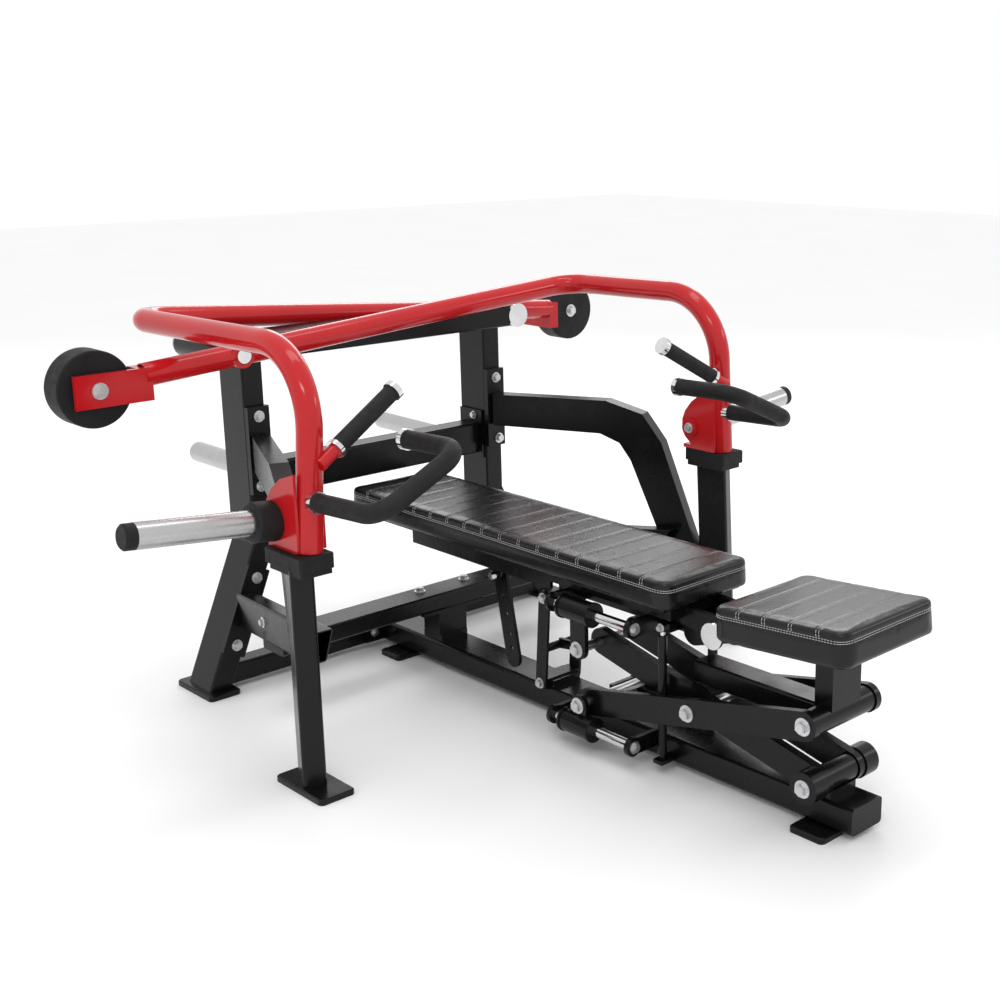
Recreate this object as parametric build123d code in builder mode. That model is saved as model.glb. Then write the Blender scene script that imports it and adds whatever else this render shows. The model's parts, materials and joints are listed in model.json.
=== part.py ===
"""Plate-loaded bench press with crossed lever arms and a scissor-lift bench.

Millimetres. +Z is up, Y runs along the bench with the seat at -Y, and X runs
across it. The origin is on the floor, under the middle of the machine.
"""

import os
from math import atan2, degrees, hypot

from build123d import *

os.makedirs("parts", exist_ok=True)

# ---------------------------------------------------------------- dimensions
RUNNING = 0.05  # radial clearance of a shaft in its bore
REST_GAP = 0.5  # gap under an arm that rests on its collar
WALL = 3.0  # wall of every steel tube
PLATE = 12.0  # thickness of the floor plates

RAIL_HALF_WIDTH = 45.0
RAIL_TOP = 65.0
RAIL_FRONT = -907.0
RAIL_REAR = 530.0

UPRIGHT_X = 341.0
UPRIGHT_Y = 598.0
UPRIGHT_WIDTH = 52.0
UPRIGHT_DEPTH = 100.0
UPRIGHT_FACE_Y = UPRIGHT_Y - UPRIGHT_DEPTH / 2
KNEE_Z = 315.0
UPRIGHT_TOP = 745.0
LEG_FOOT = (492.0, 573.0)

MID_BEAM_REAR = 628.0

BRACE_HEIGHT = 80.0
BRACE_WIDTH = 40.0

BRACE_RUN = (245.0, -550.0)
POST_HEAD = (584.0, 3.0)
POST_FOOT = (593.0, -12.0)
POST_WIDTH = 46.0
POST_DEPTH = 74.0
POST_TOP = 452.0
COLLAR_TOP = 478.0

ARM_RADIUS = 25.0
ARM_PIVOT_X = 410.0
ARM_PIVOT_Z = 771.0
ARM_SHAFT_RADIUS = 16.0
ARM_FOOT = (579.0, -31.0, COLLAR_TOP + REST_GAP)
ARM_HEAD_X = 555.0
ARM_HEAD_Z = 857.0
ARM_CROSS_SLOPE = 0.078
RIGHT_CROSS_Y = 483.0
LEFT_CROSS_Y = 655.0
HORN_PIVOT = (43.0, 530.0)
HORN_RADIUS = 25.0
HORN_LENGTH = 228.0

LIFT_FRONT_Y = -832.0
LIFT_REAR_Y = -269.0
LIFT_LOW_Z = 100.0
LIFT_HIGH_Z = 222.0
LIFT_MID_Y = (LIFT_FRONT_Y + LIFT_REAR_Y) / 2
LIFT_MID_Z = (LIFT_LOW_Z + LIFT_HIGH_Z) / 2
LIFT_PIN_RADIUS = 10.0
INNER_ARM_X = (40.0, 58.0)
OUTER_ARM_X = (84.0, 98.0)
LIFT_ARM_HEIGHT = 56.0

ROD_X = 118.0
ROD_RADIUS = 11.0
ROD_Y = (-417.0, -197.0)
LOWER_ROD_Z = 57.0
UPPER_ROD_Z = 305.0
SPRING_X = 74.0
SPRING_Y = -462.0
SPRING_ROD_RADIUS = 4.0
SPRING_TOP = 290.0
SPRING_EYE_Z = 307.0

BACK_HINGE = (-603.0, 329.0)
PROP_PIVOT = (80.0, 283.0)
PROP_FOOT = (42.0, 94.0)
LATCH_PIVOT = (-72.0, 72.0)
LATCH_HEAD = (-87.0, 270.0)

EAR_OUTLINE = (
    (-35, 480),
    (44, 480),
    (44, 492),
    (62, 506),
    (71, 522),
    (71, 548),
    (62, 570),
    (42, 594),
    (12, 616),
    (-35, 632),
)

HOOK_OUTLINE = ((-80, 165), (-140, 168), (-140, 128), (-122, 128), (-122, 148), (-80, 142))

pieces = {}


# ------------------------------------------------------------------- helpers
def middle(span):
    """Return the middle of a (low, high) pair."""
    return (span[0] + span[1]) / 2


def block(x, y, z, mode=Mode.ADD):
    """Add a box that spans the pairs x, y and z."""
    with Locations((middle(x), middle(y), middle(z))):
        Box(x[1] - x[0], y[1] - y[0], z[1] - z[0], mode=mode)


def rod(start, end, radius, mode=Mode.ADD):
    """Add a round bar between two points."""
    axis = Vector(*end) - Vector(*start)
    with Locations(Plane(origin=start, z_dir=axis)):
        Cylinder(radius, axis.length, align=(Align.CENTER, Align.CENTER, Align.MIN), mode=mode)


def cross_rod(x, y, z, radius, mode=Mode.ADD):
    """Add a round bar across the machine, over the pair x."""
    rod((x[0], y, z), (x[1], y, z), radius, mode)


def both(x):
    """Return the pair x on the right side and mirrored on the left side."""
    return (x, (-x[1], -x[0]))


def mirrored(part):
    """Return a part mirrored to the other side of the machine."""
    return mirror(part, about=Plane.YZ)


def box_tube(start, end, width, height, corner=6.0, wall=WALL):
    """Make a closed box-section tube; height lies in the tube's upright plane."""
    axis = Vector(*end) - Vector(*start)
    across = Vector(0, 0, 1).cross(axis)
    plane = Plane(origin=start, x_dir=across, z_dir=axis)
    with BuildPart() as tube:
        with BuildSketch(plane):
            RectangleRounded(width, height, corner)
        extrude(amount=axis.length)
        if wall:
            with BuildSketch(plane.offset(wall)):
                RectangleRounded(width - 2 * wall, height - 2 * wall, corner - wall)
            extrude(amount=axis.length - 2 * wall, mode=Mode.SUBTRACT)
    return tube.part


def round_tube(points, radii, outer, inner):
    """Make a bent round tube through the points, with one bend radius per corner."""
    with BuildPart() as tube:
        with BuildLine() as path:
            FilletPolyline(*points, radius=radii)
        with BuildSketch(Plane(origin=path.line @ 0, z_dir=path.line % 0)):
            Circle(outer)
            if inner:
                Circle(inner, mode=Mode.SUBTRACT)
        sweep(path=path.line)
    return tube.part


def link(ends, width, x, mode=Mode.ADD):
    """Add a flat bar with round ends that lies in a YZ plane, over the pair x."""
    (y0, z0), (y1, z1) = ends
    turn = degrees(atan2(z1 - z0, y1 - y0))
    with BuildSketch(Plane.YZ.offset(x[0])) as outline:
        with Locations(Location(((y0 + y1) / 2, (z0 + z1) / 2), turn)):
            SlotCenterToCenter(hypot(y1 - y0, z1 - z0), width)
    extrude(outline.sketch, amount=x[1] - x[0], mode=mode)


def bolt(point, direction, head=10.0, washer=13.0):
    """Add a washer and a hexagon head that stand on a face."""
    normal = Vector(*direction).normalized()
    base = Vector(*point)
    seat = base + normal * 2.5
    rod(base, seat, washer)
    with BuildSketch(Plane(origin=seat, z_dir=normal)) as hexagon:
        RegularPolygon(head, 6)
    extrude(hexagon.sketch, amount=head * 0.7)
    rod(seat, seat + normal * (head * 0.7 + 1.5), head * 0.72)


def profile_plate(points, plane, thickness, wall=0.0):
    """Make a plate or a flat-sided hollow form from an outline on a plane, both ways."""
    with BuildPart() as plate:
        with BuildSketch(plane) as outline:
            with BuildLine():
                Polyline(*points, close=True)
            make_face()
        extrude(amount=thickness / 2, both=True)
        if wall:
            with BuildSketch(plane):
                add(offset(outline.sketch_local, amount=-wall, mode=Mode.PRIVATE))
            extrude(amount=thickness / 2 - wall, both=True, mode=Mode.SUBTRACT)
    return plate.part


# ---------------------------------------------------------------- base frame
pieces["base_rail"] = box_tube((0, RAIL_FRONT, 38.5), (0, RAIL_REAR, 38.5), 90, 53, 8)

with BuildPart() as rail_brackets:
    for y in ((-852, -812), (-100, -44), (296, 364)):
        block((-38, 38), y, (RAIL_TOP, 80))
    cross_rod((-38, 38), LIFT_FRONT_Y, LIFT_LOW_Z, 25)
    cross_rod((-38, 38), LIFT_FRONT_Y, LIFT_LOW_Z, LIFT_PIN_RADIUS + RUNNING, Mode.SUBTRACT)
    block((-RAIL_HALF_WIDTH, RAIL_HALF_WIDTH), (-90, -54), (RAIL_TOP, 84))
    cross_rod((-46, 46), *LATCH_PIVOT, 6 + RUNNING, Mode.SUBTRACT)
    block((-40, 40), (300, 360), (80, 138))
    block((-88, 88), (292, 372), (138, 146))
    for x in both((45, 96)):
        block(x, (522, 530), (16, 62))
    for x in both((45, 88)):
        block(x, (SPRING_Y - 12, SPRING_Y + 12), (22, 30))
pieces["rail_brackets"] = rail_brackets.part

with BuildPart() as floor_plates:
    for x, y in (((-87, 87), (-874, -794)), ((-90, 90), (402, 477))):
        block(x, y, (0, PLATE))
    for x, y in (((454, 531), (495, 649)), ((556, 635), (-105, 57))):
        for span in both(x):
            block(span, y, (0, PLATE))
    fillet(floor_plates.edges().filter_by(Axis.Z), 10)
    chamfer(floor_plates.faces().sort_by(Axis.Z)[-6:].edges(), 2.5)
pieces["floor_plates"] = floor_plates.part

with BuildPart() as rear_cross_tube:
    add(box_tube((-474, 555, 36), (474, 555, 36), 50, 48))


# -------------------------------------------------------- uprights and beams
def upright_envelope(width, depth):
    """Sweep the bent leg and upright with a rectangular section."""
    reach = PLATE / KNEE_Z
    knee = Vector(UPRIGHT_X, UPRIGHT_Y, KNEE_Z)
    floor = Vector(*LEG_FOOT, 0)
    with BuildPart() as leg:
        with BuildLine() as path:
            Polyline((UPRIGHT_X, UPRIGHT_Y, UPRIGHT_TOP), knee, floor + (floor - knee) * reach)
        with BuildSketch(Plane.XY.offset(UPRIGHT_TOP)):
            with Locations((UPRIGHT_X, UPRIGHT_Y)):
                RectangleRounded(width, depth, 5)
        sweep(path=path.line, transition=Transition.RIGHT)
        split(bisect_by=Plane.XY.offset(PLATE), keep=Keep.TOP)
    return leg.part


upright_solid = upright_envelope(UPRIGHT_WIDTH, UPRIGHT_DEPTH)
with BuildPart() as rear_upright:
    add(upright_solid)
    add(upright_envelope(UPRIGHT_WIDTH - 2 * WALL, UPRIGHT_DEPTH - 2 * WALL), mode=Mode.SUBTRACT)
with BuildPart() as rear_uprights:
    add(rear_upright.part)
    add(mirrored(rear_upright.part))
pieces["rear_uprights"] = rear_uprights.part

with BuildPart() as cross_tube_cut:
    add(rear_cross_tube.part)
    for leg in (upright_solid, mirrored(upright_solid)):
        add(leg, mode=Mode.SUBTRACT)
pieces["rear_cross_tube"] = cross_tube_cut.part.solids().sort_by(SortBy.VOLUME)[-1]

with BuildPart() as top_beam:
    add(box_tube((-385, 573, 772.5), (385, 573, 772.5), 100, 55))
    for side in (-1, 1):
        cross = side * ARM_PIVOT_X
        rod((cross, 500, ARM_PIVOT_Z), (cross, 720, ARM_PIVOT_Z), 30, Mode.SUBTRACT)
pieces["top_beam"] = top_beam.part

with BuildPart() as arm_pivot_housings:
    for x, y in ((-ARM_PIVOT_X, (518, 707)), (ARM_PIVOT_X, (527, 623))):
        rod((x, y[0], ARM_PIVOT_Z), (x, y[1], ARM_PIVOT_Z), 30)
        bore = ARM_SHAFT_RADIUS + RUNNING
        rod((x, y[0], ARM_PIVOT_Z), (x, y[1], ARM_PIVOT_Z), bore, Mode.SUBTRACT)
pieces["arm_pivot_housings"] = arm_pivot_housings.part

with BuildPart() as mid_beam:
    add(box_tube((-307, 598, 460), (307, 598, 460), 60, 80))
    for x in both((307, 315)):
        block(x, (555, 641), (408, 532))
pieces["mid_beam"] = mid_beam.part

STORAGE_X = 274.0
STORAGE_Z = 458.0
STORAGE_END = 949.5
with BuildPart() as storage_horns:
    for side in (-1, 1):
        foot = (side * STORAGE_X, MID_BEAM_REAR, STORAGE_Z)
        rod(foot, (side * STORAGE_X, STORAGE_END, STORAGE_Z), HORN_RADIUS)
        rod(foot, (side * STORAGE_X, STORAGE_END - 6, STORAGE_Z), HORN_RADIUS - 5, Mode.SUBTRACT)
    chamfer(storage_horns.faces().sort_by(Axis.Y)[-2:].edges(), 3)
pieces["storage_horns"] = storage_horns.part


# -------------------------------------------------------- posts and braces
def post_envelope(inset):
    """Make the leaning rest post, turned in line with the braces and inset by a wall's thickness."""
    lean = Vector(POST_HEAD[0] - POST_FOOT[0], POST_HEAD[1] - POST_FOOT[1], POST_TOP)
    foot = Vector(*POST_FOOT, 0) + lean * (PLATE + inset) / POST_TOP
    height = POST_TOP - PLATE - 2 * inset
    with BuildPart() as post:
        with BuildSketch(Plane(origin=foot, x_dir=(*BRACE_RUN, 0), z_dir=(0, 0, 1))) as section:
            RectangleRounded(POST_DEPTH - 2 * inset, POST_WIDTH - 2 * inset, 8 - inset)
        extrude(section.sketch, amount=height * lean.length / POST_TOP, dir=lean.normalized())
    return post.part


post_solid = post_envelope(0)
with BuildPart() as rest_post:
    add(post_solid)
    add(post_envelope(WALL), mode=Mode.SUBTRACT)
with BuildPart() as rest_posts:
    add(rest_post.part)
    add(mirrored(rest_post.part))
pieces["rest_posts"] = rest_posts.part

with BuildPart() as collar_right:
    block((546, 621), (-63, 63), (448, COLLAR_TOP))
    block((547, 616), (-57, 57), (436, 448))
    fillet(collar_right.edges().filter_by(Axis.Z), 6)
    chamfer(collar_right.faces().sort_by(Axis.Z)[-1].edges(), 2)
    add(post_solid, mode=Mode.SUBTRACT)
with BuildPart() as rest_collars:
    add(collar_right.part)
    add(mirrored(collar_right.part))
pieces["rest_collars"] = rest_collars.part

LOWER_BRACE = ((405, 533, 180), (509, 34, 242))
lower_brace_solid = box_tube(*LOWER_BRACE, BRACE_WIDTH, BRACE_HEIGHT, 6, 0)
LEG_LEAN = (LEG_FOOT[1] - UPRIGHT_Y) / KNEE_Z
FLANGE_MIDDLE = (408.0, 176.0)
FLANGE_LENGTH = 206.0
flange_plane = Plane(
    origin=(FLANGE_MIDDLE[0], UPRIGHT_FACE_Y + LEG_LEAN * (KNEE_Z - FLANGE_MIDDLE[1]), FLANGE_MIDDLE[1]),
    x_dir=(LEG_FOOT[0] - UPRIGHT_X, LEG_FOOT[1] - UPRIGHT_Y, -KNEE_Z),
    z_dir=(0, -1, -LEG_LEAN),
)
with BuildPart() as brace_flange:
    with BuildSketch(flange_plane.offset(-4)):
        RectangleRounded(FLANGE_LENGTH, 56, 4)
    extrude(amount=12)
    add(upright_solid, mode=Mode.SUBTRACT)
with BuildPart() as brace_flanges:
    add(brace_flange.part)
    add(mirrored(brace_flange.part))
pieces["brace_flanges"] = brace_flanges.part

with BuildPart() as lower_brace_right:
    add(box_tube(*LOWER_BRACE, BRACE_WIDTH, BRACE_HEIGHT))
    add(brace_flange.part, mode=Mode.SUBTRACT)
    add(upright_solid, mode=Mode.SUBTRACT)
    with BuildSketch(Plane.YZ.offset(440)) as oblique_end:
        with BuildLine():
            Polyline((-20, 300), (44, 300), (114, 170), (-20, 170), close=True)
        make_face()
    extrude(oblique_end.sketch, amount=130, mode=Mode.SUBTRACT)
lower_brace_piece = lower_brace_right.part.solids().sort_by(SortBy.VOLUME)[-1]
pieces["lower_brace_right"] = lower_brace_piece
pieces["lower_brace_left"] = mirrored(lower_brace_piece)

UPPER_BRACE_START = (340.0, 533.0)
UPPER_BRACE_TOP_EDGE = ((0, 577), (311, 582), (408, 555), (458, 487), (572, 170))
UPPER_BRACE_LOW_EDGE = ((488, 170), (377, 436), (347, 478), (295, 498), (0, 497))
upper_brace_plane = Plane(
    origin=(*UPPER_BRACE_START, 0),
    x_dir=(*BRACE_RUN, 0),
    z_dir=Vector(*BRACE_RUN, 0).cross(Vector(0, 0, 1)),
)
with BuildPart() as upper_brace_right:
    outline = UPPER_BRACE_TOP_EDGE + UPPER_BRACE_LOW_EDGE
    add(profile_plate(outline, upper_brace_plane, BRACE_WIDTH, WALL))
    block((313, 367), (534, UPRIGHT_FACE_Y), (440, 640))
    add(lower_brace_solid, mode=Mode.SUBTRACT)
    add(post_solid, mode=Mode.SUBTRACT)
upper_brace_piece = upper_brace_right.part.solids().sort_by(SortBy.VOLUME)[-1]
pieces["upper_brace_right"] = upper_brace_piece
pieces["upper_brace_left"] = mirrored(upper_brace_piece)

with BuildPart() as rear_floor_beam:
    add(box_tube((-462, 330, 166), (462, 330, 166), 80, 40))
    for brace in (lower_brace_solid, mirrored(lower_brace_solid)):
        add(brace, mode=Mode.SUBTRACT)
pieces["rear_floor_beam"] = rear_floor_beam.part.solids().sort_by(SortBy.VOLUME)[-1]

with BuildPart() as bolts_right:
    bolt((340, 534, 618), (0, -1, 0))
    bolt((346, 534, 459), (0, -1, 0))
    bolt((65, 338, 186), (0, 0, 1))
    bolt((65, 338, 138), (0, 0, -1))
    bolt((72, 522, 39), (0, -1, 0), 8, 11)
    bolt((307, 584, 518), (-1, 0, 0), 8, 10)
    bolt((ROD_X, ROD_Y[0] - 10, LOWER_ROD_Z), (0, -1, 0), 9, 13)
    bolt((ROD_X, ROD_Y[1] + 10, LOWER_ROD_Z), (0, 1, 0), 9, 13)
    bolt((460.24, 366, 206), (0.97896, 0.20404, 0), 8, 12)
    for along in (-79, 79):
        bolt(flange_plane.from_local_coords((along, 0, 8)), flange_plane.z_dir)
with BuildPart() as frame_bolts:
    add(bolts_right.part)
    add(mirrored(bolts_right.part))
pieces["frame_bolts"] = frame_bolts.part


# ----------------------------------------------------------- bench slideways
def rod_brackets(inner_x, z):
    """Make the four plates that hold one pair of slide rods."""
    with BuildPart() as brackets:
        for side in (-1, 1):
            x = sorted((side * inner_x, side * ROD_X))
            for y in ((ROD_Y[0] - 10, ROD_Y[0]), (ROD_Y[1], ROD_Y[1] + 10)):
                block(x, y, (z - 17, z + 17))
                rod((side * ROD_X, y[0], z), (side * ROD_X, y[1], z), 20)
    return brackets.part


def slide_rods(z):
    """Make one pair of slide rods."""
    with BuildPart() as rods:
        for side in (-1, 1):
            rod((side * ROD_X, ROD_Y[0], z), (side * ROD_X, ROD_Y[1], z), ROD_RADIUS)
    return rods.part


def slider_blocks(rod_z, pin_z):
    """Make the two blocks that slide on one pair of rods and hold one pivot pin."""
    y = (LIFT_REAR_Y - 45, LIFT_REAR_Y + 45)
    with BuildPart() as blocks:
        for side in (-1, 1):
            x = side * ROD_X
            rod((x, y[0], rod_z), (x, y[1], rod_z), 24)
            for lip in ((y[0], y[0] + 6), (y[1] - 6, y[1])):
                rod((x, lip[0], rod_z), (x, lip[1], rod_z), 26)
            plate_x = sorted((side * 112, side * 122))
            link(((LIFT_REAR_Y, rod_z), (LIFT_REAR_Y, pin_z)), 44, plate_x)
            cross_rod(plate_x, LIFT_REAR_Y, pin_z, LIFT_PIN_RADIUS + RUNNING, Mode.SUBTRACT)
            rod((x, y[0], rod_z), (x, y[1], rod_z), ROD_RADIUS + RUNNING, Mode.SUBTRACT)
    return blocks.part


pieces["lower_slide_rods"] = slide_rods(LOWER_ROD_Z)
pieces["upper_slide_rods"] = slide_rods(UPPER_ROD_Z)
pieces["lower_rod_brackets"] = rod_brackets(RAIL_HALF_WIDTH, LOWER_ROD_Z)
pieces["lower_slider_blocks"] = slider_blocks(LOWER_ROD_Z, LIFT_LOW_Z)
pieces["upper_slider_blocks"] = slider_blocks(UPPER_ROD_Z, LIFT_HIGH_Z)

with BuildPart() as gas_spring_cylinders:
    for side in (-1, 1):
        x = side * SPRING_X
        rod((x, SPRING_Y, 30), (x, SPRING_Y, 42), 6)
        rod((x, SPRING_Y, 42), (x, SPRING_Y, SPRING_TOP), 9)
        rod((x, SPRING_Y, 46), (x, SPRING_Y, SPRING_TOP), SPRING_ROD_RADIUS + RUNNING, Mode.SUBTRACT)
pieces["gas_spring_cylinders"] = gas_spring_cylinders.part

with BuildPart() as gas_spring_rods:
    for side in (-1, 1):
        x = side * SPRING_X
        rod((x, SPRING_Y, 50), (x, SPRING_Y, SPRING_EYE_Z), SPRING_ROD_RADIUS)
        rod((x, SPRING_Y, SPRING_TOP + 1.5), (x, SPRING_Y, SPRING_EYE_Z), 5)
        cross_rod((x - 6, x + 6), SPRING_Y, SPRING_EYE_Z, 9)
pieces["gas_spring_rods"] = gas_spring_rods.part

# -------------------------------------------------------------- scissor arms
FRONT_LOW = (LIFT_FRONT_Y, LIFT_LOW_Z)
FRONT_HIGH = (LIFT_FRONT_Y, LIFT_HIGH_Z)
REAR_LOW = (LIFT_REAR_Y, LIFT_LOW_Z)
REAR_HIGH = (LIFT_REAR_Y, LIFT_HIGH_Z)
LIFT_MIDDLE = (LIFT_MID_Y, LIFT_MID_Z)

with BuildPart() as scissor_inner_arms:
    for x in both(INNER_ARM_X):
        link((FRONT_LOW, REAR_HIGH), LIFT_ARM_HEIGHT, x)
    for x in both((INNER_ARM_X[1], 94)):
        cross_rod(x, *FRONT_LOW, 31)
    for x in both((38, 95)):
        cross_rod(x, *FRONT_LOW, LIFT_PIN_RADIUS, Mode.SUBTRACT)
        cross_rod(x, *REAR_HIGH, LIFT_PIN_RADIUS, Mode.SUBTRACT)
        cross_rod(x, *LIFT_MIDDLE, LIFT_PIN_RADIUS + RUNNING, Mode.SUBTRACT)
pieces["scissor_inner_arms"] = scissor_inner_arms.part

with BuildPart() as scissor_inner_pins:
    cross_rod((-94, 94), *FRONT_LOW, LIFT_PIN_RADIUS)
    cross_rod((-122.5, 122.5), *REAR_HIGH, LIFT_PIN_RADIUS)
    for side in (-1, 1):
        bolt((side * 94, *FRONT_LOW), (side, 0, 0), 12, 17)
        bolt((side * 122.5, *REAR_HIGH), (side, 0, 0), 12, 17)
pieces["scissor_inner_pins"] = scissor_inner_pins.part

with BuildPart() as scissor_outer_arms:
    for x in both(OUTER_ARM_X):
        link((FRONT_HIGH, REAR_LOW), LIFT_ARM_HEIGHT, x)
        for pivot in (FRONT_HIGH, REAR_LOW, LIFT_MIDDLE):
            cross_rod(x, *pivot, LIFT_PIN_RADIUS, Mode.SUBTRACT)
pieces["scissor_outer_arms"] = scissor_outer_arms.part

with BuildPart() as scissor_outer_pins:
    for pivot, end in ((FRONT_HIGH, 98), (LIFT_MIDDLE, 98), (REAR_LOW, 122.5)):
        cross_rod((-end, end), *pivot, LIFT_PIN_RADIUS)
        for side in (-1, 1):
            bolt((side * end, *pivot), (side, 0, 0), 12, 17)
pieces["scissor_outer_pins"] = scissor_outer_pins.part

# ------------------------------------------------------ platform and seat
SEAT_TILT = 4.3
SEAT_MIDDLE = Vector(0, -797, 358.5)
seat_plane = Plane.XY.rotated((-SEAT_TILT, 0, 0))
seat_plane.origin = SEAT_MIDDLE

with BuildPart() as platform_frame:
    add(box_tube((0, -530, 306.5), (0, -112, 306.5), 60, 37))
    add(box_tube((0, -820, 215), (0, -505, 215), 60, 46))
    block((-6, 6), (-527, -519), (238, 288))
    add(rod_brackets(30, UPPER_ROD_Z))
    for x in both((30, SPRING_X - 6)):
        block(x, (SPRING_Y - 12, SPRING_Y + 12), (296, 314))
    for x in both((30, 38)):
        link((BACK_HINGE, (-510, 299)), 52, x)
    cross_rod((-82, 82), *FRONT_HIGH, 25)
    with BuildSketch(Plane.YZ) as post_side:
        with BuildLine():
            Polyline((-852, 215), (-812, 215), (-812, 354), (-852, 357), close=True)
        make_face()
    extrude(post_side.sketch, amount=42, both=True)
    with BuildSketch(seat_plane.offset(-14)) as seat_plate:
        RectangleRounded(206, 244, 18)
    extrude(seat_plate.sketch, amount=14)
    cross_rod((-82, 82), *FRONT_HIGH, LIFT_PIN_RADIUS + RUNNING, Mode.SUBTRACT)
    cross_rod((-38, 38), *BACK_HINGE, LIFT_PIN_RADIUS + RUNNING, Mode.SUBTRACT)
pieces["platform_frame"] = platform_frame.part

with BuildPart() as seat_pad:
    with BuildSketch(seat_plane) as seat_outline:
        RectangleRounded(278, 306, 26)
    extrude(seat_outline.sketch, amount=65)
    fillet(seat_pad.faces().sort_by(Axis.Z)[-1].edges(), 9)
pieces["seat_pad"] = seat_pad.part

with BuildPart() as platform_bolts:
    for side in (-1, 1):
        bolt((side * ROD_X, -427, UPPER_ROD_Z), (0, -1, 0), 9, 13)
        bolt((side * ROD_X, -187, UPPER_ROD_Z), (0, 1, 0), 9, 13)
        bolt((side * (SPRING_X + 6), SPRING_Y, SPRING_EYE_Z), (side, 0, 0), 6, 7)
pieces["platform_bolts"] = platform_bolts.part

# ---------------------------------------------------------------- backrest
TRAY_Z = (331.0, 361.0)
with BuildPart() as backrest_tray:
    block((-88, 88), (-497, 325), (TRAY_Z[0], 353))
    block((-108, 108), (-498, 490), (353, TRAY_Z[1]))
    for x in both((80, 88)):
        block(x, (-150, 325), (315, TRAY_Z[0]))
    for x in both((39, 51)):
        link((BACK_HINGE, (-470, 336)), 40, x)
    for x in ((-46, -35), (-25, -14)):
        link((PROP_PIVOT, (PROP_PIVOT[0], 330)), 32, x)
    cross_rod((-52, 52), *BACK_HINGE, LIFT_PIN_RADIUS, Mode.SUBTRACT)
    cross_rod((-46, -14), *PROP_PIVOT, 6, Mode.SUBTRACT)
pieces["backrest_tray"] = backrest_tray.part

with BuildPart() as backrest_pad:
    with BuildSketch(Plane.XY.offset(TRAY_Z[1])):
        with Locations((0, 3)):
            RectangleRounded(250, 1042, 24)
    extrude(amount=57)
    fillet(backrest_pad.faces().sort_by(Axis.Z)[-1].edges(), 9)
pieces["backrest_pad"] = backrest_pad.part

with BuildPart() as backrest_hinge:
    cross_rod((-84, 84), *BACK_HINGE, LIFT_PIN_RADIUS)
    for x in both((84, 90)):
        cross_rod(x, *BACK_HINGE, 26)
    for x in both((51, 84)):
        cross_rod(x, *BACK_HINGE, 15)
    cross_rod((-52, -8), *PROP_PIVOT, 6)
    bolt((-8, *PROP_PIVOT), (1, 0, 0), 9, 11)
    bolt((-52, *PROP_PIVOT), (-1, 0, 0), 9, 11)
pieces["backrest_hinge"] = backrest_hinge.part

with BuildPart() as prop_bar:
    link((PROP_PIVOT, PROP_FOOT), 44, (-34, -26))
    cross_rod((-34, -26), *PROP_PIVOT, 6 + RUNNING, Mode.SUBTRACT)
    for step in (0.27, 0.48, 0.72, 0.89):
        hole_y = PROP_PIVOT[0] + step * (PROP_FOOT[0] - PROP_PIVOT[0])
        hole_z = PROP_PIVOT[1] + step * (PROP_FOOT[1] - PROP_PIVOT[1])
        cross_rod((-34, -26), hole_y, hole_z, 6, Mode.SUBTRACT)
pieces["prop_bar"] = prop_bar.part

# -------------------------------------------------------------- height latch
with BuildPart() as latch_plates:
    for x in both((46, 52)):
        link((LATCH_PIVOT, LATCH_HEAD), 32, x)
    cross_rod((-46, 46), *LATCH_HEAD, 9)
    cross_rod((-46, 46), -78, 150, 9)
    with BuildSketch(Plane.YZ) as hook:
        with BuildLine():
            Polyline(*HOOK_OUTLINE, close=True)
        make_face()
    extrude(hook.sketch, amount=4, both=True)
    cross_rod((-52, 52), *LATCH_PIVOT, 6, Mode.SUBTRACT)
    cross_rod((-52, 52), *LATCH_HEAD, 6, Mode.SUBTRACT)
pieces["latch_plates"] = latch_plates.part

with BuildPart() as latch_bolts:
    for pivot in (LATCH_PIVOT, LATCH_HEAD):
        cross_rod((-52, 52), *pivot, 6)
        for side in (-1, 1):
            bolt((side * 52, *pivot), (side, 0, 0), 9, 12)
pieces["latch_bolts"] = latch_bolts.part


# -------------------------------------------------------------------- arms
def cross_tube_z(from_pivot):
    """Height of an arm's cross tube, by distance from its pivot to the handle side."""
    return ARM_PIVOT_Z + ARM_CROSS_SLOPE * from_pivot


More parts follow.
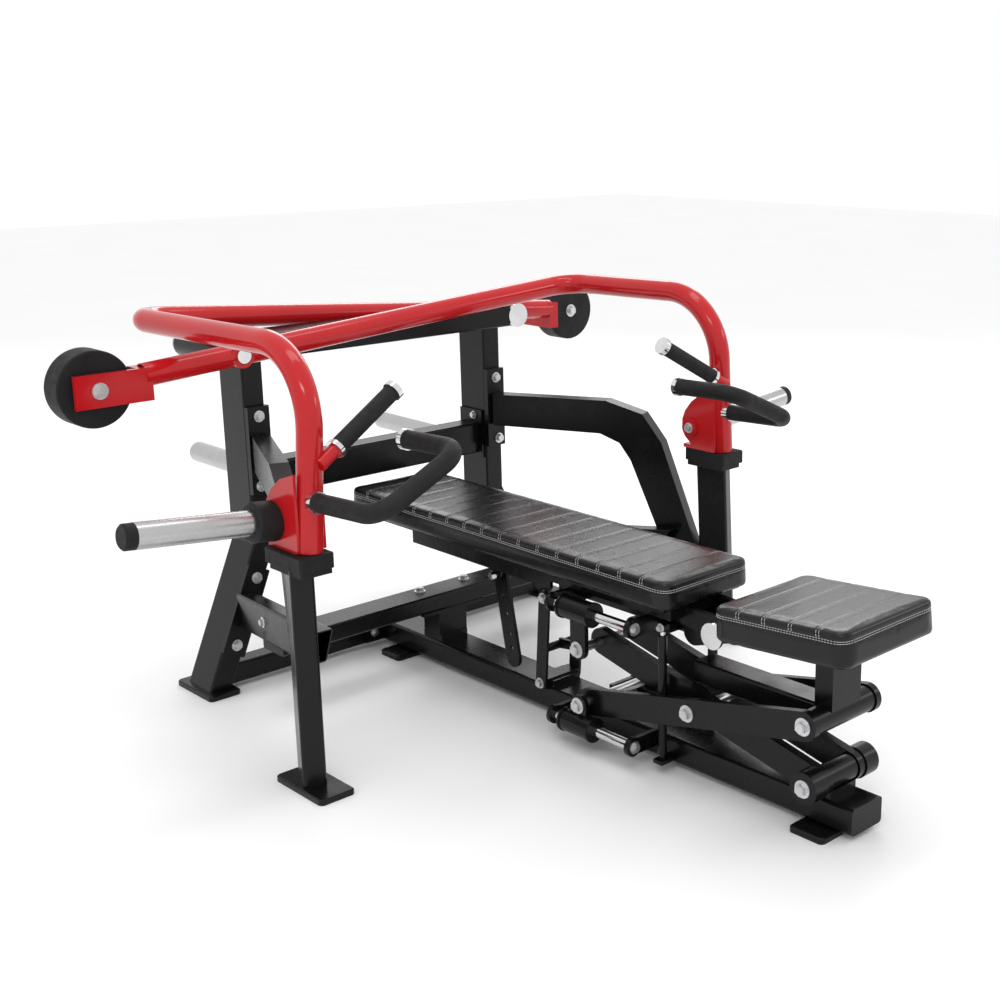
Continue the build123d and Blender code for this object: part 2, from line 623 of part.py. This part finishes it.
def make_arm(cross_y):
    """Make every piece of one arm with its handle on the right side."""
    made = {}
    bend_z = cross_tube_z(ARM_HEAD_X + ARM_PIVOT_X)
    tail_x = -628.0
    tail = (tail_x, cross_y, cross_tube_z(tail_x + ARM_PIVOT_X))
    route = (ARM_FOOT, (ARM_HEAD_X, ARM_FOOT[1], ARM_HEAD_Z), (ARM_HEAD_X, cross_y, bend_z), tail)
    bends = (150.0, 75.0)
    envelope = round_tube(route, bends, ARM_RADIUS, 0)
    near = cross_y < 560  # this arm passes in front of the top beam
    toward = 1 if near else -1
    beam_face = 517.5 if near else 623.5
    far_end = 707.5 if near else 526.5
    pivot = -ARM_PIVOT_X

    with BuildPart() as tube:
        add(round_tube(route, bends, ARM_RADIUS, ARM_RADIUS - WALL))
        block((540, 620), (-70, 70), (ARM_FOOT[2] - 20, ARM_FOOT[2]), Mode.SUBTRACT)
        rod((pivot, cross_y - 24 * toward, ARM_PIVOT_Z), (pivot, beam_face, ARM_PIVOT_Z), 27)
        rod((pivot, 440, ARM_PIVOT_Z), (pivot, 720, ARM_PIVOT_Z), ARM_SHAFT_RADIUS, Mode.SUBTRACT)
    made["arm_tube"] = tube.part

    with BuildPart() as shaft:
        rod((pivot, cross_y - 30 * toward, ARM_PIVOT_Z), (pivot, far_end, ARM_PIVOT_Z), ARM_SHAFT_RADIUS)
        rod((pivot, far_end, ARM_PIVOT_Z), (pivot, far_end + 6 * toward, ARM_PIVOT_Z), 30)
    made["pivot_shaft"] = shaft.part

    with BuildPart() as gusset:
        block((545, 608), (-31, 66), (ARM_FOOT[2], ARM_FOOT[2] + 9))
        for x in ((545, 551), (602, 608)):
            with BuildSketch(Plane.YZ.offset(x[0])) as ear:
                with BuildLine():
                    Polyline(*EAR_OUTLINE, close=True)
                make_face()
            extrude(ear.sketch, amount=x[1] - x[0])
        cross_rod((540, 545), *HORN_PIVOT, 24)
        add(envelope, mode=Mode.SUBTRACT)
        cross_rod((530, 612), *HORN_PIVOT, 12, Mode.SUBTRACT)
    made["arm_gusset"] = gusset.part

    lean = Vector(248, 0, 25).normalized()
    horn_foot = Vector(608, *HORN_PIVOT)
    horn_start = horn_foot + lean * 50
    horn_end = horn_start + lean * HORN_LENGTH
    with BuildPart() as collar:
        rod(horn_foot, horn_start, 39)
        chamfer(collar.faces().sort_by(Axis.X)[-1].edges(), 5)
        block((560, 608), (-20, 100), (480, 600), Mode.SUBTRACT)
        rod(horn_end, horn_end + lean * 22, HORN_RADIUS - 0.5)
        chamfer(collar.faces().sort_by(Axis.X)[-1].edges(), 4)
    made["horn_collars"] = collar.part
    with BuildPart() as horn:
        rod(horn_start, horn_end, HORN_RADIUS)
        rod(horn_start, horn_end - lean * 5, HORN_RADIUS - 5, Mode.SUBTRACT)
    made["weight_horn"] = horn.part

    loop = ((574, -64, 578), (570, -246, 587), (378, -240, 675), (379, -81, 669))
    loop_bend = (45.0, 45.0)
    stub = Vector(562, -54, 646)
    grip_end = Vector(378, -30, 754)
    along = (grip_end - stub).normalized()
    grip_start = stub + along * 53
    root_way = (Vector(*loop[0]) - Vector(*loop[1])).normalized()
    tip_way = (Vector(*loop[3]) - Vector(*loop[2])).normalized()
    with BuildPart() as handle_tubes:
        add(round_tube(loop, loop_bend, 14, 11))
        rod(stub, grip_end, 13.5)
        add(envelope, mode=Mode.SUBTRACT)
    cores = handle_tubes.part.solids().sort_by(SortBy.VOLUME)[-2:]
    made["handle_tubes"] = Compound(children=list(cores))
    with BuildPart() as grips:
        add(round_tube(loop, loop_bend, 18.5, 14.05))
        rod(grip_start, grip_end, 17)
        rod(stub, grip_end, 13.55, Mode.SUBTRACT)
    made["handle_grips"] = grips.part
    with BuildPart() as caps:
        rod(loop[0], Vector(*loop[0]) + root_way * 16, 21)
        rod(loop[3], Vector(*loop[3]) + tip_way * 13, 21)
        rod(grip_start - along * 9, grip_start, 20)
        rod(grip_end, grip_end + along * 12, 20)
        rod(stub, grip_end, 13.5, Mode.SUBTRACT)
        add(envelope, mode=Mode.SUBTRACT)
    cap_solids = caps.part.solids().sort_by(SortBy.VOLUME)[-4:]
    made["handle_caps"] = Compound(children=list(cap_solids))

    disc_x = -729.0
    disc_z = 738.0
    disc_y = (480.0, 542.0) if near else (674.0, 736.0)
    plate_y = (461.0, 471.0) if near else (742.0, 752.0)
    sleeve_y = (461.0, 511.0) if near else (633.0, 752.0)
    with BuildPart() as bracket:
        block((-779, -616), plate_y, (704, 772))
        block((-646, -616), sleeve_y, (704, 772))
        add(envelope, mode=Mode.SUBTRACT)
        rod((disc_x, 440, disc_z), (disc_x, 760, disc_z), 10, Mode.SUBTRACT)
    made["counterweight_bracket"] = bracket.part.solids().sort_by(SortBy.VOLUME)[-1]
    with BuildPart() as disc:
        rod((disc_x, disc_y[0], disc_z), (disc_x, disc_y[1], disc_z), 79)
        fillet(disc.edges().filter_by(GeomType.CIRCLE), 4)
        rod((disc_x, 440, disc_z), (disc_x, 760, disc_z), 10, Mode.SUBTRACT)
    made["counterweight"] = disc.part
    with BuildPart() as bolts:
        low = min(plate_y[0], disc_y[0])
        high = max(plate_y[1], disc_y[1])
        rod((disc_x, low, disc_z), (disc_x, high, disc_z), 10)
        gap = (plate_y[1], disc_y[0]) if near else (disc_y[1], plate_y[0])
        rod((disc_x, gap[0], disc_z), (disc_x, gap[1], disc_z), 20)
        bolt((disc_x, low, disc_z), (0, -1, 0), 12, 17)
        bolt((disc_x, high, disc_z), (0, 1, 0), 12, 17)
        bolt((540, *HORN_PIVOT), (-1, 0, 0), 10, 13)
        cross_rod((540, 608), *HORN_PIVOT, 12)
    made["arm_bolts"] = bolts.part
    return made


for label, piece in make_arm(RIGHT_CROSS_Y).items():
    pieces[f"{label}_right"] = piece
for label, piece in make_arm(LEFT_CROSS_Y).items():
    pieces[f"{label}_left"] = mirrored(piece)

# ------------------------------------------------------------------ writing
for label, piece in pieces.items():
    piece.label = label
    export_step(piece, f"parts/{label}.step")
print(len(pieces), "pieces")
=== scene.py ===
"""Looks of the crossed-arm bench press: materials, sewn pads, light and camera."""

import json
import math

import bmesh
import bpy
from mathutils import Matrix, Vector
from mathutils.bvhtree import BVHTree

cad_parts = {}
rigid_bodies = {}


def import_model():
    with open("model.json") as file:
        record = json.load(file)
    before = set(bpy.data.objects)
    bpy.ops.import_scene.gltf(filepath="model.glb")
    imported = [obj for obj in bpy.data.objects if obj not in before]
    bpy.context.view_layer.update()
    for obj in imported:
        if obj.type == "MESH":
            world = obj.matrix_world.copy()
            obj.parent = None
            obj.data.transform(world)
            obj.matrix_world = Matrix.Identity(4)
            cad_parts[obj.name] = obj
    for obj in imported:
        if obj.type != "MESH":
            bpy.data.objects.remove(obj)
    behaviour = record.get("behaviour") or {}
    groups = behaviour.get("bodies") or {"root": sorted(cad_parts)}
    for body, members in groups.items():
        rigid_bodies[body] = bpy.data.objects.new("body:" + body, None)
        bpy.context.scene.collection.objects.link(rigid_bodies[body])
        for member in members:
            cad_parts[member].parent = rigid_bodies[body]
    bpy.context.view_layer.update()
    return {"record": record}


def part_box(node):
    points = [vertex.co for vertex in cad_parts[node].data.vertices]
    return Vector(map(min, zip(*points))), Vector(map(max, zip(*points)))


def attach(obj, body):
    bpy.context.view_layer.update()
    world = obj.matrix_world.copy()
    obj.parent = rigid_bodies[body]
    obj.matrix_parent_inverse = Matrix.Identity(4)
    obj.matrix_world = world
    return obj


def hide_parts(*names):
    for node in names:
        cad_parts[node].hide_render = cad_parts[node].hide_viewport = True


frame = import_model()

# ------------------------------------------------------------------ sizes (m)
PAD_CORNER = 0.024
PAD_EDGE = 0.007
PAD_SLACK = 0.0016
VOXEL = 0.0045
PAD_PRESSURE = 4.0
PAD_STEPS = 16
PAD_BASE = 0.006
SWELL_CAP = 0.0016
CHANNEL_SPACING = 0.060
CHANNEL_TWIN = 0.0065
CHANNEL_DEPTH = 0.0007
CHANNEL_SPREAD = 0.0022
CHANNEL_REACH = 0.012
SEAM_PINCH = 0.0012
SEAM_SPREAD = 0.0035
SEAM_DROPS = (0.0165, 0.0205)
STITCH_LENGTH = 0.0046
STITCH_STEP = 0.0064
STITCH_RADIUS = 0.0007
STITCH_SIDES = 6
TICK_TOP = 0.0035
TICK_STEP = 0.0058
TICK_LEAN = 0.25
SEAT_WIDTH = 0.278
SEAT_LENGTH = 0.306
SEAT_HEIGHT = 0.065
SEAT_BASE = Vector((0.0, -0.797, 0.3585))
SEAT_TILT = math.radians(4.3)
FLOOR_REACH = 14.0


# ------------------------------------------------------------------ materials
def start_material(name, color, metallic, roughness):
    """Make a material and return it with its nodes, links and shader."""
    material = bpy.data.materials.new(name)
    material.use_nodes = True
    nodes = material.node_tree.nodes
    links = material.node_tree.links
    shader = nodes["Principled BSDF"]
    shader.inputs["Base Color"].default_value = (*color, 1.0)
    shader.inputs["Metallic"].default_value = metallic
    shader.inputs["Roughness"].default_value = roughness
    return material, nodes, links, shader


def coordinates(nodes):
    """Return object coordinates."""
    return nodes.new("ShaderNodeTexCoord").outputs["Object"]


def noise(nodes, links, vector, scale, detail=3.0):
    """Return a noise texture's value."""
    texture = nodes.new("ShaderNodeTexNoise")
    texture.inputs["Scale"].default_value = scale
    texture.inputs["Detail"].default_value = detail
    links.new(vector, texture.inputs["Vector"])
    return texture.outputs["Fac"]


def bump(nodes, links, height, strength, distance, base=None):
    """Return a normal bent by a height."""
    node = nodes.new("ShaderNodeBump")
    node.inputs["Strength"].default_value = strength
    node.inputs["Distance"].default_value = distance
    links.new(height, node.inputs["Height"])
    if base:
        links.new(base, node.inputs["Normal"])
    return node.outputs["Normal"]


def vary_roughness(nodes, links, shader, value, low, high):
    """Let a texture move the roughness between two values."""
    spread = nodes.new("ShaderNodeMapRange")
    spread.inputs["From Min"].default_value = 0.3
    spread.inputs["From Max"].default_value = 0.7
    spread.inputs["To Min"].default_value = low
    spread.inputs["To Max"].default_value = high
    links.new(value, spread.inputs["Value"])
    links.new(spread.outputs["Result"], shader.inputs["Roughness"])


def vary_color(nodes, links, shader, value, dark, light):
    """Let a texture move the colour between two shades."""
    ramp = nodes.new("ShaderNodeValToRGB")
    ramp.color_ramp.elements[0].position = 0.3
    ramp.color_ramp.elements[1].position = 0.7
    ramp.color_ramp.elements[0].color = (*dark, 1.0)
    ramp.color_ramp.elements[1].color = (*light, 1.0)
    links.new(value, ramp.inputs["Fac"])
    links.new(ramp.outputs["Color"], shader.inputs["Base Color"])


def powder_coat(name, dark, light, roughness, coat, peel):
    """Make sprayed paint with a faint orange-peel surface."""
    material, nodes, links, shader = start_material(name, light, 0.0, roughness[0])
    vector = coordinates(nodes)
    vary_color(nodes, links, shader, noise(nodes, links, vector, 5.0), dark, light)
    vary_roughness(nodes, links, shader, noise(nodes, links, vector, 22.0), *roughness)
    fine = bump(nodes, links, noise(nodes, links, vector, 900.0, 1.0), peel, 0.00012)
    wavy = bump(nodes, links, noise(nodes, links, vector, 210.0, 1.0), peel, 0.0002, fine)
    links.new(wavy, shader.inputs["Normal"])
    shader.inputs["Specular IOR Level"].default_value = 0.24
    shader.inputs["Coat Weight"].default_value = coat
    shader.inputs["Coat Roughness"].default_value = 0.08
    return material


def metal(name, dark, light, roughness, scale, scratch):
    """Make bare metal with a clouded tone and faint scratches."""
    material, nodes, links, shader = start_material(name, light, 1.0, roughness[0])
    vector = coordinates(nodes)
    marks = noise(nodes, links, vector, scale, 2.0)
    vary_color(nodes, links, shader, noise(nodes, links, vector, 30.0), dark, light)
    vary_roughness(nodes, links, shader, marks, *roughness)
    links.new(bump(nodes, links, marks, scratch, 0.00005), shader.inputs["Normal"])
    return material


def rubber(name):
    """Make matte moulded rubber with a fine pebbled skin."""
    material, nodes, links, shader = start_material(name, (0.014, 0.014, 0.015), 0.0, 0.7)
    vector = coordinates(nodes)
    cloud = noise(nodes, links, vector, 14.0)
    vary_color(nodes, links, shader, cloud, (0.006, 0.006, 0.0065), (0.011, 0.011, 0.0115))
    vary_roughness(nodes, links, shader, noise(nodes, links, vector, 60.0), 0.52, 0.68)
    shader.inputs["Specular IOR Level"].default_value = 0.25
    pebbles = nodes.new("ShaderNodeTexVoronoi")
    pebbles.inputs["Scale"].default_value = 700.0
    links.new(vector, pebbles.inputs["Vector"])
    skin = bump(nodes, links, pebbles.outputs["Distance"], 0.25, 0.0003)
    links.new(skin, shader.inputs["Normal"])
    return material


def leather(name):
    """Make black upholstery leather with pores, creases and a soft sheen."""
    material, nodes, links, shader = start_material(name, (0.012, 0.012, 0.013), 0.0, 0.4)
    vector = coordinates(nodes)
    cloud = noise(nodes, links, vector, 9.0)
    vary_color(nodes, links, shader, cloud, (0.004, 0.004, 0.0044), (0.007, 0.007, 0.0075))
    vary_roughness(nodes, links, shader, noise(nodes, links, vector, 45.0), 0.22, 0.28)
    cells = nodes.new("ShaderNodeTexVoronoi")
    cells.inputs["Scale"].default_value = 620.0
    cells.inputs["Randomness"].default_value = 1.0
    links.new(vector, cells.inputs["Vector"])
    grain = bump(nodes, links, cells.outputs["Distance"], 0.10, 0.0002)
    crease = bump(nodes, links, noise(nodes, links, vector, 160.0, 4.0), 0.02, 0.0004, grain)
    links.new(crease, shader.inputs["Normal"])
    shader.inputs["Specular IOR Level"].default_value = 0.3
    shader.inputs["Sheen Weight"].default_value = 0.04
    shader.inputs["Sheen Roughness"].default_value = 0.2
    shader.inputs["Sheen Tint"].default_value = (0.9, 0.9, 0.92, 1.0)
    return material


def thread(name):
    """Make pale twisted sewing thread."""
    material, nodes, links, shader = start_material(name, (0.42, 0.42, 0.43), 0.0, 0.7)
    vector = coordinates(nodes)
    fibre = noise(nodes, links, vector, 1800.0, 2.0)
    vary_color(nodes, links, shader, fibre, (0.30, 0.30, 0.31), (0.55, 0.55, 0.56))
    links.new(bump(nodes, links, fibre, 0.4, 0.0002), shader.inputs["Normal"])
    shader.inputs["Sheen Weight"].default_value = 0.3
    return material


finishes = {
    "frame_black": powder_coat(
        "frame_black", (0.003, 0.003, 0.0033), (0.005, 0.005, 0.0054), (0.22, 0.30), 0.0, 0.06
    ),
    "arm_red": powder_coat(
        "arm_red", (0.45, 0.008, 0.011), (0.51, 0.010, 0.014), (0.14, 0.19), 0.25, 0.02
    ),
    "spring_black": powder_coat(
        "spring_black", (0.004, 0.004, 0.0045), (0.006, 0.006, 0.0065), (0.14, 0.20), 0.0, 0.03
    ),
    "black_rubber": rubber("black_rubber"),
    "black_leather": leather("black_leather"),
    "brushed_sleeve": metal(
        "brushed_sleeve", (0.46, 0.46, 0.465), (0.50, 0.50, 0.505), (0.26, 0.31), 90.0, 0.01
    ),
    "chrome": metal("chrome", (0.66, 0.66, 0.67), (0.74, 0.74, 0.75), (0.07, 0.15), 90.0, 0.02),
    "zinc_bolt": metal("zinc_bolt", (0.55, 0.55, 0.56), (0.72, 0.72, 0.73), (0.25, 0.42), 300.0, 0.15),
}
stitch_thread = thread("stitch_thread")

for part in frame["record"]["subparts"]:
    cad_object = bpy.data.objects[part["node"]]
    cad_object.data.materials.clear()
    cad_object.data.materials.append(finishes[part["material_slot"]])


# ------------------------------------------------------------------ pads
def rounded_outline(half_x, half_y, corner, steps=7):
    """Return the points of a rounded rectangle, anticlockwise."""
    corners = ((1, 1, 0), (-1, 1, 90), (-1, -1, 180), (1, -1, 270))
    points = []
    for sign_x, sign_y, start in corners:
        for step in range(steps + 1):
            angle = math.radians(start + 90 * step / steps)
            x = sign_x * (half_x - corner) + corner * math.cos(angle)
            y = sign_y * (half_y - corner) + corner * math.sin(angle)
            points.append((x, y))
    return points


def pad_form(name, width, length, height):
    """Make the closed starting form of a pad, a little smaller than its space."""
    mesh = bpy.data.meshes.new(name)
    form = bmesh.new()
    levels = [(0.0, 0.002), (0.004, 0.0)]
    for step in range(5):
        angle = math.radians(90 * step / 4)
        rise = height - PAD_SLACK - PAD_EDGE + PAD_EDGE * math.sin(angle)
        levels.append((rise, PAD_EDGE * (1 - math.cos(angle))))
    rings = []
    for z, inset in levels:
        inset += PAD_SLACK
        outline = rounded_outline(width / 2 - inset, length / 2 - inset, PAD_CORNER - inset / 2)
        rings.append([form.verts.new((x, y, z)) for x, y in outline])
    for low, high in zip(rings, rings[1:]):
        for index in range(len(low)):
            after = (index + 1) % len(low)
            form.faces.new((low[index], low[after], high[after], high[index]))
    form.faces.new(list(reversed(rings[0])))
    form.faces.new(rings[-1])
    form.to_mesh(mesh)
    form.free()
    pad = bpy.data.objects.new(name, mesh)
    bpy.context.scene.collection.objects.link(pad)
    return pad


def settle(pad):
    """Replace a piece's mesh by what its modifiers make of it."""
    depsgraph = bpy.context.evaluated_depsgraph_get()
    mesh = bpy.data.meshes.new_from_object(pad.evaluated_get(depsgraph))
    pad.modifiers.clear()
    pad.data = mesh


def puff(pad):
    """Blow the cover up with cloth pressure while its base stays on the board."""
    start = [vertex.co.copy() for vertex in pad.data.vertices]
    base = pad.vertex_groups.new(name="base")
    base.add([v.index for v in pad.data.vertices if v.co.z < PAD_BASE], 1.0, "REPLACE")
    cloth = pad.modifiers.new("Cloth", "CLOTH")
    cloth.settings.use_pressure = True
    cloth.settings.uniform_pressure_force = PAD_PRESSURE
    cloth.settings.vertex_group_mass = "base"
    cloth.settings.effector_weights.gravity = 0.0
    cloth.settings.quality = 4
    cloth.point_cache.frame_start = 1
    cloth.point_cache.frame_end = PAD_STEPS
    for number in range(1, PAD_STEPS + 1):
        bpy.context.scene.frame_set(number)
    settle(pad)
    bpy.context.scene.frame_set(1)
    for vertex, place in zip(pad.data.vertices, start):
        move = vertex.co - place
        if move.length > SWELL_CAP:
            vertex.co = place + move.normalized() * SWELL_CAP


def sew_channels(pad, lines, top):
    """Press the sewn lines into the top and pinch the seam round the side."""
    seam = top - sum(SEAM_DROPS) / 2
    for vertex in pad.data.vertices:
        x, y, z = vertex.co
        if z > top - CHANNEL_REACH:
            press = sum(math.exp(-(((y - line) / CHANNEL_SPREAD) ** 2)) for line in lines)
            vertex.co.z -= CHANNEL_DEPTH * min(press, 1.0)
        elif z > 0.01:
            pinch = SEAM_PINCH * math.exp(-(((z - seam) / SEAM_SPREAD) ** 2))
            flat = Vector((x, y, 0.0))
            vertex.co -= flat.normalized() * pinch


def add_stitch(form, start, end, lift):
    """Add one capsule-shaped stitch between two points, lifted off the cover."""
    axis = (end - start).normalized()
    side = axis.cross(lift).normalized()
    rings = []
    for along, size in ((0.0, 0.45), (0.18, 1.0), (0.82, 1.0), (1.0, 0.45)):
        centre = start.lerp(end, along) + lift * STITCH_RADIUS * 0.35
        ring = []
        for step in range(STITCH_SIDES):
            angle = math.tau * step / STITCH_SIDES
            arm = side * math.cos(angle) + lift * math.sin(angle)
            ring.append(form.verts.new(centre + arm * STITCH_RADIUS * size))
        rings.append(ring)
    for low, high in zip(rings, rings[1:]):
        for index in range(STITCH_SIDES):
            after = (index + 1) % STITCH_SIDES
            form.faces.new((low[index], low[after], high[after], high[index]))
    form.faces.new(list(reversed(rings[0])))
    form.faces.new(rings[-1])


def hit_side(tree, x, y, z, outward):
    """Find the cover's surface at a height, looking in from outside."""
    origin = Vector((x, y, z)) + outward * 0.05
    place, normal, _, _ = tree.ray_cast(origin, -outward, 0.12)
    return place, normal


def stitch_pad(pad, name, width, length, top, lines):
    """Sew two rows of stitches round the side and a twin tick at each channel's end."""
    tree = BVHTree.FromPolygons(
        [v.co for v in pad.data.vertices], [tuple(p.vertices) for p in pad.data.polygons]
    )
    form = bmesh.new()
    outline = [Vector((x, y)) for x, y in rounded_outline(width / 2, length / 2, PAD_CORNER, 12)]
    outline.append(outline[0])
    for drop in SEAM_DROPS:
        walked = 0.0
        target = 0.0
        for start, end in zip(outline, outline[1:]):
            run = (end - start).length
            while run and target <= walked + run:
                way = (end - start) / run
                middle = start + way * (target - walked)
                outward = Vector((way.y, -way.x, 0.0))
                place, normal = hit_side(tree, middle.x, middle.y, top - drop, outward)
                if place:
                    half = Vector((way.x, way.y, 0.0)) * STITCH_LENGTH / 2
                    add_stitch(form, place - half, place + half, normal)
                target += STITCH_STEP
            walked += run
    for line in lines:
        for side in (-1, 1):
            outward = Vector((side, 0.0, 0.0))
            for step in range(2):
                drops = [top - TICK_TOP - TICK_STEP * (step + part) for part in (0.12, 0.88)]
                lean = [line - TICK_LEAN * (top - drop) for drop in drops]
                high = hit_side(tree, side * width / 2, lean[0], drops[0], outward)
                low = hit_side(tree, side * width / 2, lean[1], drops[1], outward)
                if high[0] and low[0]:
                    add_stitch(form, low[0], high[0], high[1])
    mesh = bpy.data.meshes.new(name)
    form.to_mesh(mesh)
    form.free()
    seam = bpy.data.objects.new(name, mesh)
    bpy.context.scene.collection.objects.link(seam)
    return seam


def shade_smooth(piece):
    """Shade a piece's faces smoothly."""
    for face in piece.data.polygons:
        face.use_smooth = True


def make_pad(node, body, width, length, height, centre, tilt):
    """Make one sewn pad in its CAD space and let it ride on a body."""
    pad = pad_form(f"{node}_cover", width, length, height)
    remesh = pad.modifiers.new("Remesh", "REMESH")
    remesh.mode = "VOXEL"
    remesh.voxel_size = VOXEL
    smooth = pad.modifiers.new("Smooth", "SMOOTH")
    smooth.factor = 0.5
    smooth.iterations = 1
    settle(pad)
    puff(pad)
    finer = pad.modifiers.new("Finer", "SUBSURF")
    finer.levels = 1
    finer.render_levels = 1
    settle(pad)
    top = max(v.co.z for v in pad.data.vertices)
    count = int((length - 0.03) / CHANNEL_SPACING)
    lines = []
    for index in range(count):
        middle = (index - (count - 1) / 2) * CHANNEL_SPACING
        lines += [middle - CHANNEL_TWIN / 2, middle + CHANNEL_TWIN / 2]
    sew_channels(pad, lines, top)
    seam = stitch_pad(pad, f"{node}_stitches", width, length, top, lines)
    place = Matrix.Translation(centre) @ Matrix.Rotation(tilt, 4, "X")
    for piece, finish in ((pad, finishes["black_leather"]), (seam, stitch_thread)):
        piece.data.transform(place)
        piece.data.materials.clear()
        piece.data.materials.append(finish)
        shade_smooth(piece)
        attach(piece, body)
    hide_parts(node)


back_low, back_high = (Vector(corner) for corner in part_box("backrest_pad"))
make_pad(
    "backrest_pad",
    "backrest",
    back_high.x - back_low.x,
    back_high.y - back_low.y,
    back_high.z - back_low.z,
    Vector((0.0, (back_low.y + back_high.y) / 2, back_low.z)),
    0.0,
)
make_pad("seat_pad", "platform", SEAT_WIDTH, SEAT_LENGTH, SEAT_HEIGHT, SEAT_BASE, -SEAT_TILT)


# ------------------------------------------------------------------ studio
def area_light(name, place, target, size, power):
    """Add one soft light that looks at a point."""
    data = bpy.data.lights.new(name, "AREA")
    data.shape = "RECTANGLE"
    data.size, data.size_y = size
    data.energy = power
    light = bpy.data.objects.new(name, data)
    light.location = place
    aim = Vector(target) - Vector(place)
    light.rotation_euler = aim.to_track_quat("-Z", "Y").to_euler()
    bpy.context.scene.collection.objects.link(light)


area_light("key", (-2.6, -2.4, 3.6), (0, 0, 0.4), (1.4, 0.5), 24)
area_light("fill", (3.4, -2.6, 2.2), (0, 0, 0.5), (1.2, 0.6), 10)
area_light("rim", (2.9, 2.9, 2.6), (0, 0, 0.4), (3.2, 1.2), 42)
area_light("overhead", (0.0, 0.0, 3.8), (0, 0, 0), (3.0, 0.8), 24)

world = bpy.data.worlds.new("studio")
world.use_nodes = True
world.node_tree.nodes["Background"].inputs["Color"].default_value = (1.0, 1.0, 1.0, 1.0)
world.node_tree.nodes["Background"].inputs["Strength"].default_value = 1.0
bpy.context.scene.world = world

floor_mesh = bpy.data.meshes.new("floor")
corners = [(x * FLOOR_REACH, y * FLOOR_REACH, 0) for x, y in ((-1, -1), (1, -1), (1, 1), (-1, 1))]
floor_mesh.from_pydata(corners, [], [(0, 1, 2, 3)])
floor = bpy.data.objects.new("floor", floor_mesh)
bpy.context.scene.collection.objects.link(floor)
floor_material, floor_nodes, floor_links, floor_shader = start_material(
    "pale_floor", (0.95, 0.95, 0.95), 0.0, 0.55
)
floor_vector = coordinates(floor_nodes)
floor_cloud = noise(floor_nodes, floor_links, floor_vector, 1.5)
vary_color(
    floor_nodes, floor_links, floor_shader, floor_cloud, (0.94, 0.94, 0.94), (0.96, 0.96, 0.96)
)
floor_mesh.materials.append(floor_material)

bpy.context.scene.view_settings.view_transform = "Standard"
camera_data = bpy.data.cameras.new("camera")
camera_data.sensor_width = 36.0
camera_data.lens = 51.85
camera_data.shift_x = -0.1494
camera_data.shift_y = -0.0107
camera = bpy.data.objects.new("camera", camera_data)
camera.location = (-1.970, -2.293, 1.280)
camera.rotation_euler = (math.radians(75.21), 0.0, math.radians(-45.44))
bpy.context.scene.collection.objects.link(camera)
bpy.context.scene.camera = camera
